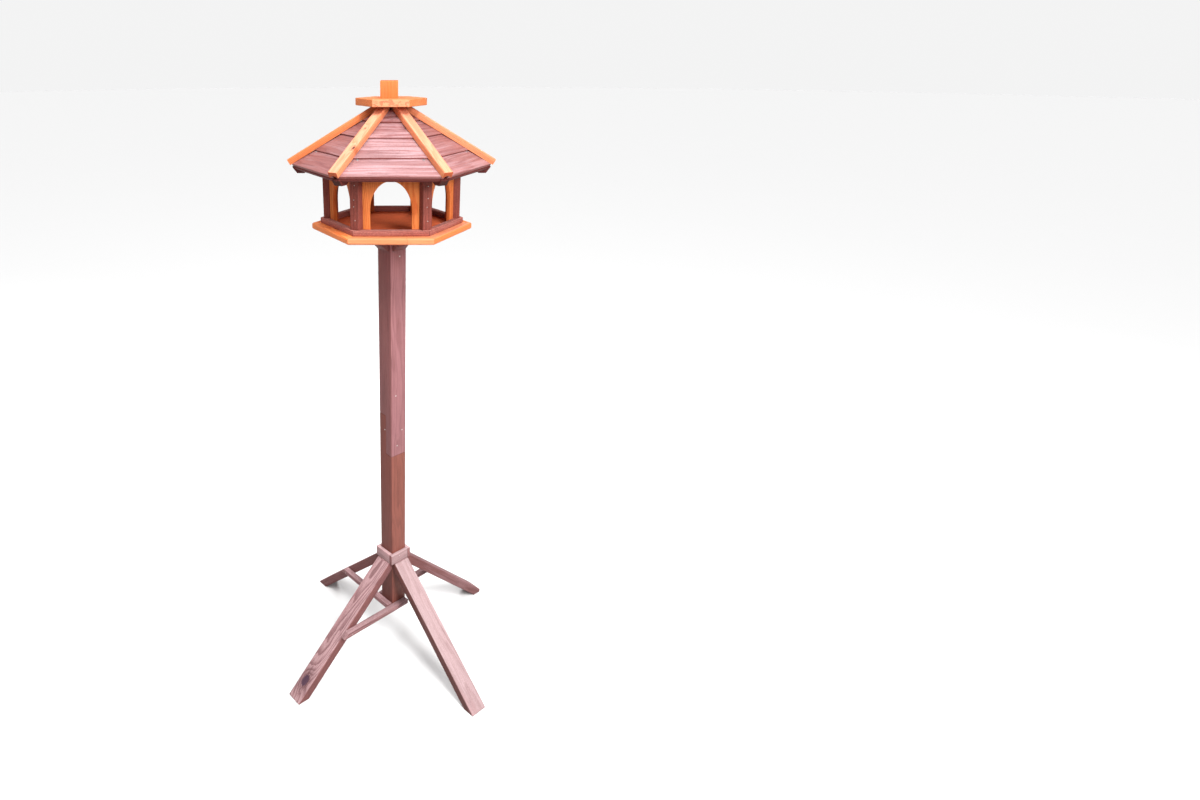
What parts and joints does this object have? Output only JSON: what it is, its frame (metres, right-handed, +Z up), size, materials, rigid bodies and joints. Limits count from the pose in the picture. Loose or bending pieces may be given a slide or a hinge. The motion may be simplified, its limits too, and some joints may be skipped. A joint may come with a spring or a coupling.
{
  "type": "bird feeder",
  "caption": "Free-standing wooden bird feeder: hexagonal house with arched openings and a boarded roof, on a square mast with splayed, braced legs.",
  "frame": {"origin": "on the ground, on the axis of the mast", "axes": "+Z up along the mast; the front side of the house faces -Y; +X to the right seen from the front"},
  "size_m": [0.5504, 0.555, 1.5284],
  "materials": {
    "honey_wood": "translucent orange stain on pine",
    "plum_wood": "dark mahogany stain on pine",
    "roof_stain": "thin rosy brown stain on sawn pine boards",
    "floor_stain": "dark red-brown stain",
    "mast_stain": "purple-brown stain on planed pine",
    "red_mast_stain": "red-brown stain on planed pine",
    "leg_stain": "thin rosy purple stain on rough pine"
  },
  "bodies": {
    "root": {"base_border_1": "honey_wood", "base_border_2": "honey_wood", "base_border_3": "honey_wood", "base_border_4": "honey_wood", "base_border_5": "honey_wood", "base_border_6": "honey_wood", "floor": "floor_stain", "rim_battens": "plum_wood", "corner_post_1": "plum_wood", "corner_post_2": "plum_wood", "corner_post_3": "plum_wood", "corner_post_4": "plum_wood", "corner_post_5": "plum_wood", "corner_post_6": "plum_wood", "arched_wall_1": "honey_wood", "arched_wall_2": "honey_wood", "arched_wall_3": "honey_wood", "arched_wall_4": "honey_wood", "arched_wall_5": "honey_wood", "arched_wall_6": "honey_wood", "eave_battens": "plum_wood", "hip_rafters": "plum_wood", "roof_slope_1": "roof_stain", "roof_slope_2": "roof_stain", "roof_slope_3": "roof_stain", "roof_slope_4": "roof_stain", "roof_slope_5": "roof_stain", "roof_slope_6": "roof_stain", "hip_batten_1": "honey_wood", "hip_batten_2": "honey_wood", "hip_batten_3": "honey_wood", "hip_batten_4": "honey_wood", "hip_batten_5": "honey_wood", "hip_batten_6": "honey_wood", "cap": "honey_wood", "finial": "honey_wood", "mast_upper": "mast_stain", "mast_lower": "red_mast_stain", "mast_cleats": "mast_stain", "leg_collar": "leg_stain", "leg_1": "leg_stain", "leg_2": "leg_stain", "leg_3": "leg_stain", "leg_4": "leg_stain", "leg_braces": "mast_stain"}
  },
  "joints": []
}
